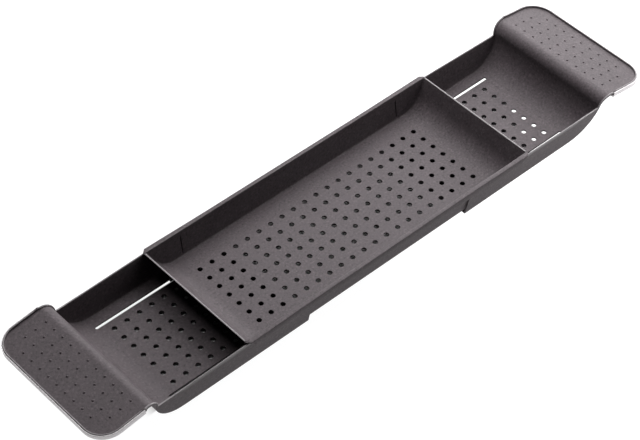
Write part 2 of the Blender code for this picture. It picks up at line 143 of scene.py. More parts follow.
@dataclass
class Skin:
    """Collects grids of points and turns them into one welded mesh.

    Attributes:
        points: arrays of points, each n by 3.
        wear and light: a value for each point: 1 on a worn edge, which is also lightened as painted
            highlight, 0 on a face, -1 deep in a hole, which is darkened as painted shade.
        faces: arrays of point numbers, one row for each face.
        count: how many points there are so far.
    """

    points: list[Array] = field(default_factory=list)
    wear_and_light: list[Array] = field(default_factory=list)
    faces: list[Array] = field(default_factory=list)
    count: int = 0

    def add(self, sheet: Array, wear_and_light: Measure = 0.0) -> Array:
        """Adds points.

        Args:
            sheet: points, shaped (..., 3).
            wear and light: their wear and painted light, spread over them.

        Returns:
            The points' numbers, shaped as the points.
        """
        shape = sheet.shape[:-1]
        numbers = np.arange(int(np.prod(shape))).reshape(shape) + self.count
        self.points.append(sheet.reshape(-1, 3))
        self.wear_and_light.append(np.broadcast_to(wear_and_light, shape).reshape(-1).astype(float))
        self.count += numbers.size
        return numbers

    def grid(self, sheet: Array, wear_and_light: Measure = 0.0, closed: bool = False) -> Array:
        """Adds a grid of rows by columns and joins each cell's four corners.

        Args:
            sheet: points, shaped (..., rows, columns, 3); leading axes are copies.
            wear and light: wear and painted light, spread over the grid.
            closed: whether the last column joins the first.

        Returns:
            The point numbers, shaped as the grid.
        """
        numbers = self.add(sheet, wear_and_light)
        after = np.roll(numbers, -1, axis=-1) if closed else numbers[..., 1:]
        here = numbers if closed else numbers[..., :-1]
        corners = [here[..., :-1, :], after[..., :-1, :], after[..., 1:, :], here[..., 1:, :]]
        self.faces.append(np.stack(corners, axis=-1).reshape(-1, 4))
        return numbers

    def ring(self, numbers: Array) -> None:
        """Adds one flat face round a ring of points."""
        self.faces.append(numbers.reshape(1, -1))

    def stitch(self, first: Array, second: Array) -> None:
        """Joins two rows that rise in X: each next point closes a triangle with the last of both.

        Args:
            first: points of one row, n by 3.
            second: points of the other row, m by 3.
        """
        near, far = self.add(first), self.add(second)
        order = np.argsort(np.concatenate([first[1:, 0], second[1:, 0]]), kind="stable")
        on_near = order < len(first) - 1
        here = np.cumsum(on_near) - on_near
        there = np.cumsum(~on_near) - ~on_near
        next_near = near[np.minimum(here + 1, len(near) - 1)]
        next_far = far[np.minimum(there + 1, len(far) - 1)]
        tip = np.where(on_near, next_near, next_far)
        self.faces.append(np.stack([near[here], tip, far[there]], axis=-1))

    def flip_x(self) -> "Skin":
        """A copy mirrored in X, with its faces turned to match."""
        faces = [block[:, ::-1] for block in self.faces]
        return Skin([block * MIRROR_X for block in self.points], list(self.wear_and_light), faces, self.count)

    def at(self, end: End) -> "Skin":
        """A skin that was made for the right end, at either end."""
        return self if end is End.RIGHT else self.flip_x()

    def take(self, other: "Skin") -> None:
        """Adds another skin's points and faces to this one.

        Args:
            other: the skin to add.
        """
        self.points += other.points
        self.wear_and_light += other.wear_and_light
        self.faces += [faces + self.count for faces in other.faces]
        self.count += other.count

    def build(self, name: str) -> bpy.types.Object:
        """Welds the points that meet, turns the faces outwards and makes the object.

        Args:
            name: the new object's name.

        Returns:
            The object, linked to the scene at the origin.
        """
        mesh = bpy.data.meshes.new(name)
        faces = [face for block in self.faces for face in block.tolist()]
        mesh.from_pydata(np.concatenate(self.points), [], faces)
        layer = mesh.attributes.new("wear_and_painted_light", "FLOAT", "POINT")
        layer.data.foreach_set("value", np.concatenate(self.wear_and_light).astype(np.float32))
        shape = bmesh.new()
        shape.from_mesh(mesh)
        bmesh.ops.remove_doubles(shape, verts=shape.verts, dist=WELD_GAP)
        bmesh.ops.dissolve_degenerate(shape, edges=shape.edges, dist=THIN_EDGE)
        bmesh.ops.recalc_face_normals(shape, faces=shape.faces)
        shape.to_mesh(mesh)
        shape.free()
        mesh.shade_smooth()
        mesh.set_sharp_from_angle(angle=SHARP_ANGLE)
        piece = bpy.data.objects.new(name, mesh)
        bpy.context.scene.collection.objects.link(piece)
        return piece


@dataclass(frozen=True)
class Holes:
    """The drain holes of a floor, each in the middle of its own tile.

    Attributes:
        along, across: the holes' pitch along X and Y.
        rows: holes across the floor.
        sides: points round a hole.
        edge: radius of the rounded edge at its mouth.
    """

    diameter: float = 0.005
    along: float = 0.015
    across: float = 0.0142
    rows: int = 7
    sides: int = 16
    edge: float = 0.0003

    @property
    def half_width(self) -> float:
        """Half the width of the floor that the holes' tiles cover."""
        return self.across * self.rows / 2

    @property
    def row_places(self) -> Array:
        """Y places of the rows' middles."""
        return (np.arange(self.rows) - (self.rows - 1) / 2) * self.across

    def column_places(self, first: float, columns: int) -> Array:
        """X places of the columns' middles, from the first tile's near side."""
        return first + (np.arange(columns) + 0.5) * self.along

    def ring(self) -> Pair:
        """A hole's evenly spaced angles, and its tile's border points from the middle."""
        turn = 2.0 * math.pi * (np.arange(self.sides) + 0.5) / self.sides
        return turn, to_border(turn, self.along / 2, self.along / 2, self.across / 2)

    def border_places(self, middles: Array, axis: int) -> Array:
        """Border points down one side of a row or a column of tiles.

        Args:
            middles: places of the tiles' middles.
            axis: 0 along X, 1 along Y.

        Returns:
            Their places on that axis.
        """
        border = self.ring()[1]
        other = border[:, 1 - axis]
        one = border[other > other.max() - SAME_PLACE, axis]
        return each_once(middles[:, None] + one)

    def row_border(self) -> Array:
        """Y places of the border's points across all rows of tiles."""
        return self.border_places(self.row_places, 1)

    def pierce(self, border: Array, radius: float, out: Array, thickness: float) -> Pair:
        """Rings from a border to a hole's rounded mouth, down its wall and back to the border below.

        Args:
            border: border points from their middles, n by 2.
            radius: half width of the hole.
            out: directions of the hole's points from their middles, n by 2.
            thickness: thickness of the floor.

        Returns:
            Places (x, y, height) shaped (rings, n, 3), and each ring's value: wear with painted highlight
            at the mouth, painted shade down the wall.
        """
        growth = np.array([self.edge, 0.0, 0.0])
        walls = (radius + growth)[:, None, None] * out
        flat = np.concatenate([border[None], walls, border[None]])
        level = np.array([0.0, 0.0, -self.edge, -thickness, -thickness])
        # The mouth's round is lightened as wear and painted highlight; the wall below it is darkened as
        # painted shade.
        return points(flat[..., 0], flat[..., 1], level[:, None]), np.array([0.0, 0.3, -0.6, -1.0, 0.0])

    def tiles(self, columns: Array, thickness: float) -> Pair:
        """Square tiles of floor, each with a round hole.

        Args:
            columns: X places of the hole columns.
            thickness: thickness of the floor.

        Returns:
            Places (x, y, height) shaped (tiles, rings, sides, 3), and each ring's value: wear with painted
            highlight at the mouth, painted shade down the wall.
        """
        turn, border = self.ring()
        rings, wear_and_light = self.pierce(border, self.diameter / 2, heading(turn), thickness)
        middle = points(columns[:, None], self.row_places, 0.0).reshape(-1, 1, 1, 3)
        return rings + middle, wear_and_light


@dataclass(frozen=True)
class Walls:
    """The leaning side walls that the three trays share.

    Attributes:
        shell: thickness of the moulding.
        lean: how far a wall leans out for each metre of height.
        floor_half: half width of the centre tray's floor.
        centre_floor: height of the centre tray's floor.
        rim_top: height of the centre tray's rim.
        nest_gap: gap between a centre wall and an end wall.
        lead: how far a fillet runs on over the floor before the floor's own points.
    """

    shell: float = 0.0015
    lean: float = 0.171
    floor_half: float = 0.0672
    centre_floor: float = 0.0068
    rim_top: float = 0.0358
    nest_gap: float = 0.00035
    lead: float = 0.0008

    def face(self, z: Measure, shells: int = 0) -> Measure:
        """Half width of a centre wall's face at a height, so many shells out."""
        return self.floor_half + self.lean * (z - self.centre_floor) + shells * self.shell

    def end_face(self, z: Measure) -> Measure:
        """Half width of an end tray's outer face at a height."""
        return self.face(z, 2) + self.nest_gap


@dataclass(frozen=True)
class Groove:
    """The shallow upright groove in a centre wall, faded out at its ends and its sides."""

    x: float = 0.1425
    half: float = 0.0008
    deep: float = 0.001
    low: float = 0.0078
    high: float = 0.0315
    low_soft: float = 0.0008
    high_soft: float = 0.004
    flat: float = 0.35
    soft: float = 0.6

    def stations(self) -> Array:
        """X places that follow its shape."""
        return self.x + self.half * np.array([-1.6, -1.0, -0.6, 0.0, 0.6, 1.0, 1.6])

    def depth(self, x: Array, z: Array) -> Array:
        """The depth at a place along the wall and a height: full, less the fades."""
        upright = ease((z - self.low) / self.low_soft) * ease((self.high - z) / self.high_soft)
        return self.deep * upright * (1.0 - ease((np.abs(x - self.x) / self.half - self.flat) / self.soft))


@dataclass(frozen=True)
class StopPeg:
    """The sizes of a stop peg: an oblong with blunt corners, four rings deep, with a round foot."""

    outer: float = 0.1707
    length: float = 0.005
    thick: float = 0.0022
    y: float = 0.054
    foot: float = 0.0005
    blunt: float = 0.25
    shrink: tuple[float, ...] = (0.0, 0.0, 0.12, 0.3)
    rise: tuple[float, ...] = (0.0, 0.0003, 0.0001, 0.0)


@dataclass(frozen=True)
class CentreTray:
    """The perforated middle tray with its scooped ends and rolled rim."""

    walls: Walls = Walls()
    holes: Holes = Holes()
    groove: Groove = Groove()
    stop: StopPeg = StopPeg()
    columns: int = 20
    even_run: float = 0.135
    scoop_start: float = 0.1525
    scoop_radius: float = 0.027
    scoop_angle: float = math.radians(61.5)
    fillet: float = 0.0015
    fillet_share: float = 0.75
    outer_fillet: float = 0.001
    outer_share: float = 0.9
    outer_least: float = 0.0002
    end_edge: float = 0.0006
    end_turn: float = 0.004
    rim_half_length: float = 0.1803
    rim_half_width: float = 0.07647
    rim_least: float = 0.0001
    rim_splay: float = 0.001
    splay_start: float = 0.09
    splay_run: float = 0.12
    rim_thick: float = 0.0015
    rim_soft: float = 0.00045
    rim_round: float = 0.0008
    round_share: float = 0.4
    rim_sheen_and_wear: tuple[float, float] = (0.45, 0.2)
    lip_half_length: float = 0.1798
    lip_past: float = 0.0005
    lip_fade: float = 0.005
    lip_thick: float = 0.00095
    lip_drop: float = 0.0068

    @property
    def field_end(self) -> float:
        """X where the perforated floor ends."""
        return self.holes.along * self.columns / 2

    def section(self, share: Array, drop: float) -> tuple[Array, Array, Array]:
        """The long section, offset by a drop: flat, then a circular scoop, then a straight ramp.

        Args:
            share: 0 to 1 along the flat, 1 to 2 round the scoop, 2 to 3 up the ramp.
            drop: depth below the upper face.

        Returns:
            X, Z and the face's angle at each share.
        """
        angle = np.clip(share - 1.0, 0.0, 1.0) * self.scoop_angle
        radius = self.scoop_radius + drop
        low = self.walls.centre_floor
        round_x = self.scoop_start + radius * np.sin(angle)
        x = np.where(share < 1.0, self.scoop_start * share, round_x)
        z = low + self.scoop_radius - radius * np.cos(angle)
        end_z = low + self.scoop_radius - radius * math.cos(self.scoop_angle)
        top = self.walls.rim_top - self.end_edge
        rise = (top - end_z) * np.clip(share - 2.0, 0.0, 1.0)
        return x + rise / math.tan(self.scoop_angle), z + rise, angle

    def stations(self) -> Array:
        """Shares along the section, closer together at the groove and round the scoop."""
        flat = [np.linspace(0.0, self.even_run, 10), self.groove.stations(), [self.field_end]]
        bends = [np.linspace(1.0, 2.0, 15), steps(2.0, 3.0, 21)]
        return np.concatenate([np.concatenate(flat) / self.scoop_start, *bends])

    def fillet_strip(self, face: list[Array], radius: Array, shells: int) -> Array:
        """A fillet between a face of the section and the wall, square to the section.

        Args:
            face: X places, heights and angles of the face, as columns.
            radius: the fillet's radius.
            shells: 0 for the inner faces, 1 for the outer ones.

        Returns:
            A strip of points from the fillet's lead up to the wall.
        """
        x, z, angle = face
        cosines, sines = arc(6, 0.0, 90.0)
        lift = radius * (1.0 - cosines)
        z = z + lift * np.cos(angle)
        y = self.walls.face(z, shells) - radius * (1.0 - sines)
        strip = points(x - lift * np.sin(angle), y, z)
        return np.concatenate([strip[:, :1] - [0.0, self.walls.lead, 0.0], strip], axis=1)

    def inside(self, face: list[Array]) -> list[Array]:
        """The inner fillet, the grooved wall and the rim's rounded inner edge.

        Args:
            face: the section's upper face.

        Returns:
            Strips of points.
        """
        x, top = face[0], self.walls.rim_top
        room = np.minimum(self.fillet, self.fillet_share * (top - face[1]))
        fillet = self.fillet_strip(face, room, 0)
        start = fillet[:, -1:, 2]
        crown = np.maximum(top - self.rim_soft, start)
        z = mix(start, crown, steps(0.0, 1.0, 24))
        cosines, sines = arc(4, 180.0, 90.0)
        edge = self.walls.face(top) + self.rim_soft * (1.0 + cosines)
        wall = points(x, self.walls.face(z) + self.groove.depth(x, z), z)
        return [fillet, wall, points(x, edge, mix(crown, top, sines))]

    def rim(self, x: Array, outer_x: Array) -> tuple[list[Array], Array]:
        """The rim rolled out over the wall and its hanging lip, which die away past the lip's end.

        Args:
            x: X places along the section.
            outer_x: X places on the rim and the outer wall.

        Returns:
            Strips of points, and the heights of the rim's underside.
        """
        top, wall_out = self.walls.rim_top, self.walls.face(self.walls.rim_top, 1)
        widest = self.rim_half_width + self.rim_splay * ease((x - self.splay_start) / self.splay_run)
        edge = widest - np.maximum(x - self.rim_half_length, 0.0)
        edge = np.maximum(edge, wall_out + self.rim_least)
        over = np.clip((edge - wall_out) / (self.rim_half_width - wall_out), 0.0, 1.0)
        bend = self.rim_round * np.maximum(over, self.round_share)
        fade = ease((self.lip_half_length + self.lip_past - x) / self.lip_fade)
        hang = mix(bend, self.lip_drop, over * fade)
        thick = self.lip_thick * over
        under = top - np.minimum(self.rim_thick, hang)
        low = np.minimum(top - hang, top - bend)
        round_cos, round_sin = arc(6, 90.0, 0.0)
        lip_cos, lip_sin = arc(5, 0.0, -180.0)
        strips = [
            points(outer_x, edge - bend * (1.0 - round_cos), top - bend * (1.0 - round_sin)),
            points(outer_x, edge - thick / 2 * (1.0 - lip_cos), low + thick / 2 * lip_sin),
            points(outer_x, edge - thick, under),
            points(outer_x, np.minimum(self.walls.face(under, 1), edge - thick), under),
        ]
        return strips, under

    def outside(self, outer_x: Array, face: list[Array], under: Array) -> list[Array]:
        """The outer wall from under the rim, then the outer fillet.

        Args:
            outer_x: X places on the outer wall.
            face: the section's lower face.
            under: heights of the rim's underside.

        Returns:
            Strips of points.
        """
        room = np.maximum(under - face[1], self.outer_least) * self.outer_share
        fillet = self.fillet_strip(face, np.minimum(self.outer_fillet, room), 1)[:, ::-1]
        z = mix(under, fillet[:, :1, 2], steps(0.0, 1.0, 6)[:-1])
        return [points(outer_x, self.walls.face(z, 1), z), fillet]

    def flank(self, share: Array) -> Pair:
        """One long side's profile carried along the section: inside, over the rim and outside.

        Args:
            share: stations along the section.

        Returns:
            Points shaped (stations, profile, 3) for +Y, and their wear with painted highlight.
        """
        drops = (0.0, self.walls.shell)
        face, low = ([value[:, None] for value in self.section(share, drop)] for drop in drops)
        past = ease((face[0] - self.lip_half_length + self.end_turn) / self.end_turn)
        outer_x = mix(face[0], low[0], past)
        rim, under = self.rim(face[0], outer_x)
        strips = [*self.inside(face), *rim, *self.outside(outer_x, low, under)]
        wear_and_light = np.zeros(len(strips))
        # The rim's inner edge and its top, lightened as wear and painted highlight.
        wear_and_light[2:4] = self.rim_sheen_and_wear
        return np.concatenate(strips, axis=1), np.repeat(wear_and_light, [strip.shape[1] for strip in strips])

    def peg(self, side: float) -> Skin:
        """A stop peg, carried straight down from the circle of the scoop's shell.

        Args:
            side: 1 for the peg at +Y, -1 for the one at -Y.

        Returns:
            The closed peg.
        """
        skin, stop = Skin(), self.stop
        cosines, sines = arc(25, 0.0, 360.0)
        square = np.maximum(np.abs(cosines), np.abs(sines))
        middle = stop.outer - stop.length / 2
        x = middle + stop.length / 2 * mix(cosines / square, cosines, stop.blunt)
        y = side * stop.y + stop.thick / 2 * mix(sines / square, sines, stop.blunt)
        reach = self.scoop_radius + self.walls.shell / 2
        level = self.walls.centre_floor + self.scoop_radius
        above = level - np.sqrt(reach**2 - (x - self.scoop_start) ** 2)
        shrink, rise = (np.array(values)[:, None] for values in (stop.shrink, stop.rise))
        z = mix(stop.foot, above, np.array([[1.0], [0.0], [0.0], [0.0]])) + rise
        numbers = skin.grid(points(mix(x, middle, shrink), mix(y, side * stop.y, shrink), z))
        skin.ring(numbers[-1][:-1])
        skin.ring(numbers[0][:-1][::-1])
        return skin

    def half(self) -> Skin:
        """The +X half of the tray: tiles, flanks, floor strips, scoop, end edge and pegs.

        Returns:
            The half, open where it meets the other one.
        """
        skin = Skin()
        share = self.stations()
        columns = self.holes.column_places(0.0, self.columns // 2)
        tiles, wear_and_light = self.holes.tiles(columns, self.walls.shell)
        skin.grid(tiles + np.array([0.0, 0.0, self.walls.centre_floor]), wear_and_light[:, None], closed=True)
        flank, wear_and_light = self.flank(share)
        rings = [skin.grid(flank, wear_and_light), skin.grid((flank * MIRROR_Y)[:, ::-1], wear_and_light[::-1])]
        last_flat = self.field_end / self.scoop_start
        flat, beyond = share <= last_flat + TINY, share >= last_flat - TINY
        tile_x = self.holes.border_places(columns, 0)
        ends = []
        for column in (0, -1):
            rows = flank[:, column]
            border = points(tile_x, self.holes.half_width, rows[0, 2])
            for side in BOTH_SIDES:
                skin.stitch(border * side, rows[flat] * side)
            inner = self.holes.row_border() / rows[beyond][0, 1]
            sheet = spread(rows[beyond], np.concatenate([[-1.0], inner, [1.0]]))
            skin.grid(sheet)
            ends.append(sheet[-1])
        cosines, sines = (value[:, None, None] for value in arc(6, 180.0, 0.0))
        bulge = self.end_edge * sines * np.array([0.0, 0.0, 1.0])
        # The rolled end edge is lightened all over: wear and painted highlight.
        skin.grid(mix(*ends, (1.0 + cosines) / 2) + bulge, 1.0)
        for ring in rings:
            skin.ring(ring[-1])
        for side in (1.0, -1.0):
            skin.take(self.peg(side))
        return skin

    def make(self) -> bpy.types.Object:
        """Both halves welded into the tray's moulding."""
        skin = self.half()
        skin.take(skin.flip_x())
        return skin.build("centre_tray_moulding")


@dataclass(frozen=True)
class EndTray:
    """A perforated end tray that sweeps up over a crest into a wing with a lip and pips.

    Its stations run 0 to 1 along the floor to the join, 1 to 2 round the sweep, 2 to 3 back
    round the crest, and 3 to 4 down the wing to the pad's step.
    """

    walls: Walls = Walls()
    holes: Holes = Holes()
    columns: int = 10
    inner_edge: float = 0.1045
    join: float = 0.262
    floor_top: float = 0.0015
    wall_top: float = 0.0339
    wall_sag: float = 0.0024
    sag_start: float = 0.178
    sag_run: float = 0.112
    sweep_start: float = 0.2558
    sweep_radius: float = 0.035
    crest_radius: float = 0.012
    wing_x: float = 0.301
    wing_z: float = 0.043956
    tilt: float = math.radians(7.77)
    step: float = 0.3063
    wing_end: float = 0.35823
    wing_half: float = 0.07899
    corner: float = 0.024
    side_points: int = 5
    corner_points: int = 17
    lip_rise: float = 0.00234
    lip_thick: float = 0.0013
    sheen_and_wear_first: int = 10
    lip_sheen_and_wear: tuple[float, ...] = (0.4, 1.0, 1.0, 1.0, 1.0, 1.0, 0.8, 0.3)
    crest_lip: float = 0.0016
    crest_lip_end: float = 2.3
    lip_growth: float = 1.4
    pad_inset: float = 0.0013
    fillet: float = 0.0015
    outer_fillet: float = 0.001
    outer_change: float = 1.2
    wing_fillet: float = 0.0008
    slot_y: float = 0.054
    slot_half: float = 0.0017
    slot_start: float = 0.16
    slot_end: float = 0.2605
    slot_round: int = 13
    slot_run: int = 24
    patch_half: float = 0.0037
    patch_near: float = 0.0038
    pip_rows: int = 11
    pip_columns: int = 4
    pip_sides: int = 10
    pip_first: float = 0.3087
    pip_along: float = 0.01184
    pip_across: float = 0.01218
    pip_radius: float = 0.00115
    pip_rise: float = 0.0009

    @property
    def crest(self) -> Triple:
        """The crest's circle, which touches the sweep's circle and the wing's plane.

        Its middle lies both radii from the sweep's middle and one radius under the plane.

        Returns:
            The sweep's end angle, and the X and Z of the crest circle's middle.
        """
        reach = self.sweep_radius + self.crest_radius
        middle = self.floor_top + self.sweep_radius
        under = (self.wing_top(self.sweep_start) - middle) * math.cos(self.tilt) - self.crest_radius
        turn = math.acos(-under / reach) - self.tilt
        return turn, self.sweep_start + reach * math.sin(turn), middle - reach * math.cos(turn)

    @property
    def wing_rows(self) -> int:
        """Points of the wing's outline from its step to the end of its corner."""
        return self.side_points + self.corner_points

    @property
    def hole_columns(self) -> Array:
        """X places of the hole columns."""
        return self.holes.column_places(self.inner_edge, self.columns)

    def wing_top(self, x: Measure) -> Measure:
        """Height of the wing's upper face: a plane that falls outward."""
        return self.wing_z - (x - self.wing_x) * math.tan(self.tilt)

    def on_wing(self, x: Measure, y: Measure, height: Measure) -> Array:
        """Points at a height over flat places on the wing, square to its plane."""
        top = self.wing_top(x) + height * math.cos(self.tilt)
        return points(x + height * math.sin(self.tilt), y, top)

    def sheet(self, u: Measure, y: Measure, height: Measure) -> Array:
        """The tray's face: lines for its floor and wing, circles for its sweep and crest.

        Args:
            u: stations.
            y: widths from the middle.
            height: height over the face, square to it.

        Returns:
            Points shaped as the inputs, by 3.
        """
        u, y, height = np.broadcast_arrays(u, y, height)
        turn, crest_x, crest_z = self.crest
        floor_x = mix(self.inner_edge, self.join, np.clip(u, 0.0, 1.0))
        first = np.arcsin(np.clip((floor_x - self.sweep_start) / self.sweep_radius, 0.0, 1.0))
        angle = mix(first, turn, np.clip(u - 1.0, 0.0, 1.0))
        angle = mix(angle, -self.tilt, np.clip(u - 2.0, 0.0, 1.0))
        sweep_x = self.sweep_start + self.sweep_radius * np.sin(angle)
        x = np.where(floor_x < self.sweep_start, floor_x, sweep_x)
        z = self.floor_top + self.sweep_radius * (1.0 - np.cos(angle))
        x = np.where(u > 2.0, crest_x - self.crest_radius * np.sin(angle), x)
        z = np.where(u > 2.0, crest_z + self.crest_radius * np.cos(angle), z)
        wing_start = crest_x + self.crest_radius * math.sin(self.tilt)
        x = np.where(u > 3.0, mix(wing_start, self.step, np.clip(u - 3.0, 0.0, 1.0)), x)
        z = np.where(u > 3.0, self.wing_top(x), z)
        return points(x - height * np.sin(angle), y, z + height * np.cos(angle))

    def outer_half(self, u: Array, z: Array) -> Array:
        """Half width of the outer face: the leaning wall, eased into the wing over the crest."""
        wall = np.minimum(self.walls.end_face(z), self.wing_half)
        return mix(wall, self.wing_half, ease((u - 2.0) / 2.0))

    def edge_rise(self, u: Array) -> Array:
        """Height of the side edge over the face: up to the wall's top line, then the low lip.

        The wall's top sags along X, and its X depends on the height, so that is found in rounds.

        Args:
            u: stations.

        Returns:
            The height at each, square to the face.
        """
        face = self.sheet(u, 0.0, 0.0)
        square = self.sheet(u, 0.0, 1.0) - face
        rise = 0.0 * u
        for _ in range(3):
            top_x = face[..., 0] + rise * square[..., 0]
            run = np.clip((top_x - self.sag_start) / self.sag_run, 0.0, 1.0)
            top = self.wall_top - self.wall_sag * run
            rise = np.maximum((top - face[..., 2]) / np.maximum(square[..., 2], TINY), self.crest_lip)
        growth = ease((u - self.crest_lip_end) / self.lip_growth)
        return np.where(u < 2.0, rise, mix(self.crest_lip, self.lip_rise, growth))

    def profile(self, u: Array, inner: Measure, outer: Measure, rise: Measure) -> Array:
        """A side edge's profile: fillet, inner face, round top, outer face and fillet.

        Args:
            u: stations, as a column.
            inner: inset of the inner face.
            outer: inset of the outer face.
            rise: height of the edge.

        Returns:
            Its insets, heights, and wear with painted highlight, shaped (3, stations, profile).
        """
        inner, outer, rise = (value + 0.0 * u for value in (inner, outer, rise))
        room = mix(self.fillet, self.wing_fillet, ease(u - 1.0))
        curve = mix(self.outer_fillet, self.wing_fillet, ease(u - self.outer_change))
        soft, base, lead = (inner - outer) / 2, -self.walls.shell, self.walls.lead
        cosines, sines = arc(5, 0.0, 90.0)
        top_cos, top_sin = (value[1:] for value in arc(7, 0.0, 180.0))
        low_cos, low_sin = (value[1:] for value in arc(5, 90.0, 0.0))
        strips = [
            points(inner + room + lead, 0.0),
            points(inner + room * (1.0 - sines), room * (1.0 - cosines)),
            points(inner, mix(room, rise - soft, steps(0.0, 1.0, 5))),
            points((inner + outer) / 2 + soft * top_cos, rise - soft + soft * top_sin),
            points(outer, mix(rise - soft, curve + base, steps(0.0, 1.0, 6))),
            points(outer + curve * (1.0 - low_sin), base + curve * (1.0 - low_cos)),
            points(outer + curve + lead, base),
        ]
        inset, height = np.moveaxis(np.concatenate(strips, axis=1), -1, 0)
        wear_and_light = np.zeros_like(inset)
        # The edge's top round is lightened as wear and painted highlight.
        wear_and_light[:, self.sheen_and_wear_first : self.sheen_and_wear_first + len(self.lip_sheen_and_wear)] = self.lip_sheen_and_wear
        return np.stack([inset, height, wear_and_light])

    def flank_stations(self) -> Array:
        """Stations along a side, close together where the section bends."""
        bends = [steps(1.0, 2.0, 32), steps(2.0, 3.0, 18), [3.5, 4.0]]
        return np.concatenate([np.linspace(0.0, 1.0, 22), *bends])

    def flank(self, u: Array) -> Pair:
        """The side edge's profile carried from the inner end to the pad's step.

        Args:
            u: stations.

        Returns:
            Points shaped (stations, profile, 3) for +Y, and their wear with painted highlight.
        """
        u = u[:, None]
        lip = self.pad_inset + self.lip_thick
        inner = mix(self.walls.shell, lip, np.clip(u / 2.0 - 1.0, 0.0, 1.0))
        inset, height, wear_and_light = self.profile(u, inner, 0.0, self.edge_rise(u))
        y = self.outer_half(u, self.sheet(u, 0.0, height)[..., 2]) - inset
        return self.sheet(u, y, height), wear_and_light

    def wing_across(self) -> Array:
        """Even shares of the width, as many as the floor's far line has points."""
        return np.linspace(-1.0, 1.0, len(self.floor_line(self.join, 1.0)))

    def wing_path(self) -> Pair:
        """The wing's rounded outline, from the step at +Y round its end to the step at -Y.

        Returns:
            The middles that the corner's radius is drawn from, and the outward directions.
        """
        corner_x, corner_y = self.wing_end - self.corner, self.wing_half - self.corner
        side = np.linspace(self.step, corner_x, self.side_points + 1)[:-1]
        turn = np.radians(np.linspace(0.0, 90.0, self.corner_points))
        end = -self.wing_across()[1:-1] * corner_y
        x = np.pad(side, (0, self.corner_points + len(end)), constant_values=corner_x)
        y = np.pad(end, (self.wing_rows, 0), constant_values=corner_y)
        angle = np.pad(turn, (self.side_points, len(end)), mode="edge")
        back, flip = slice(self.wing_rows - 1, None, -1), MIRROR_Y[:2]
        halves = (points(x, y), points(np.sin(angle), np.cos(angle)))
        middle, out = (np.concatenate([half, half[back] * flip]) for half in halves)
        return middle, out

    def carry(self, path: Pair, inset: Measure, height: Measure) -> Array:
        """A profile carried round the wing's outline: each inset taken off the corner's radius.

        Args:
            path: the outline's middles and outward directions.
            inset: the profile's insets.
            height: its heights over the wing's plane.

        Returns:
            Points shaped (outline, profile, 3).
        """
        middle, out = path
        plan = middle[:, None] + (self.corner - inset)[..., None] * out[:, None]
        return self.on_wing(plan[..., 0], plan[..., 1], height)

    def wing_edge(self) -> Pair:
        """The wing's edge profile carried round its outline.

        Returns:
            Points shaped (outline, profile, 3), and their wear with painted highlight.
        """
        path = self.wing_path()
        u = np.full((len(path[0]), 1), 4.0)
        inner = self.pad_inset + self.lip_thick
        inset, height, wear_and_light = self.profile(u, inner, self.pad_inset, self.lip_rise)
        return self.carry(path, inset, height), wear_and_light

    def floor_point(self, places: Array) -> Array:
        """Lays flat places (x, y, height) on the floor and the first of the sweep."""
        u = (places[..., 0] - self.inner_edge) / (self.join - self.inner_edge)
        return self.sheet(u, places[..., 1], places[..., 2])

    def slot_rings(self) -> Pair:
        """A slot in its oblong patch of floor, round-ended like a hole drawn out along X.

        Returns:
            Places (x, y, height) shaped (rings, points, 3), and each ring's value: wear with painted
            highlight at the mouth, painted shade down the wall.
        """
        low, high = self.slot_start + self.slot_half, self.slot_end - self.slot_half
        turn = np.radians(np.linspace(-90.0, 90.0, self.slot_round))
        run = np.linspace(high, low, self.slot_run + 2)[1:-1]
        quarter = math.pi / 2
        middle = np.concatenate([0.0 * turn + high, run, 0.0 * turn + low, run[::-1]])
        angle = np.concatenate([turn, 0.0 * run + quarter, turn + math.pi, 0.0 * run - quarter])
        ahead, behind = self.join - high, self.patch_near + self.slot_half
        border = to_border(angle, ahead, behind, self.patch_half)
        rings, wear_and_light = self.holes.pierce(border, self.slot_half, heading(angle), self.walls.shell)
        return rings + points(middle, self.slot_y, 0.0), wear_and_light

    def patch_edge(self, far: bool) -> Pair:
        """The border of a slot's patch.

        Args:
            far: whether the edge wanted is the one at the sweep.

        Returns:
            Y places down that edge, and X places along the patch's sides.
        """
        x, y, _ = self.slot_rings()[0][0].T
        edge = x.max() if far else x.min()
        down = each_once(y[np.abs(x - edge) < SAME_PLACE])
        return down, each_once(x[y > self.slot_y + self.patch_half - SAME_PLACE])

    def floor_line(self, x: float, lead: float) -> Array:
        """Y places of the floor's points on its near or far line, out to a lead on both sides."""
        half = np.concatenate([self.patch_edge(x > self.slot_end)[0], [lead]])
        return np.concatenate([-half[::-1], self.holes.row_border(), half])

    def floor_sides(self, skin: Skin, rows: Array, height: float) -> None:
        """Fills the floor beside its tiles: to the slot's patch, before the patch, and out to the wall.

        Args:
            skin: the skin to add to.
            rows: the wall's first points along the floor.
            height: height of this face over the floor.
        """
        tile_x = self.holes.border_places(self.hole_columns, 0)
        tail = np.linspace(tile_x[-1], self.join, 5)
        down, along = self.patch_edge(False)
        near = np.linspace(self.inner_edge, along[0], 6)
        tile_x = np.concatenate([tile_x, tail[1:]])
        patch_x = np.concatenate([near[:-1], along])
        lines = ((tile_x, self.holes.half_width), (patch_x, down[0]), (patch_x, down[-1]))
        skin.grid(self.floor_point(points(tail[:, None], self.holes.row_border(), height)))
        inner, low, high = (self.floor_point(points(x, y, height)) for x, y in lines)
        block = self.floor_point(points(near[:, None], down, height))
        for side in BOTH_SIDES:
            skin.stitch(inner * side, low * side)
            skin.stitch(high * side, rows * side)
            skin.grid(block * side)

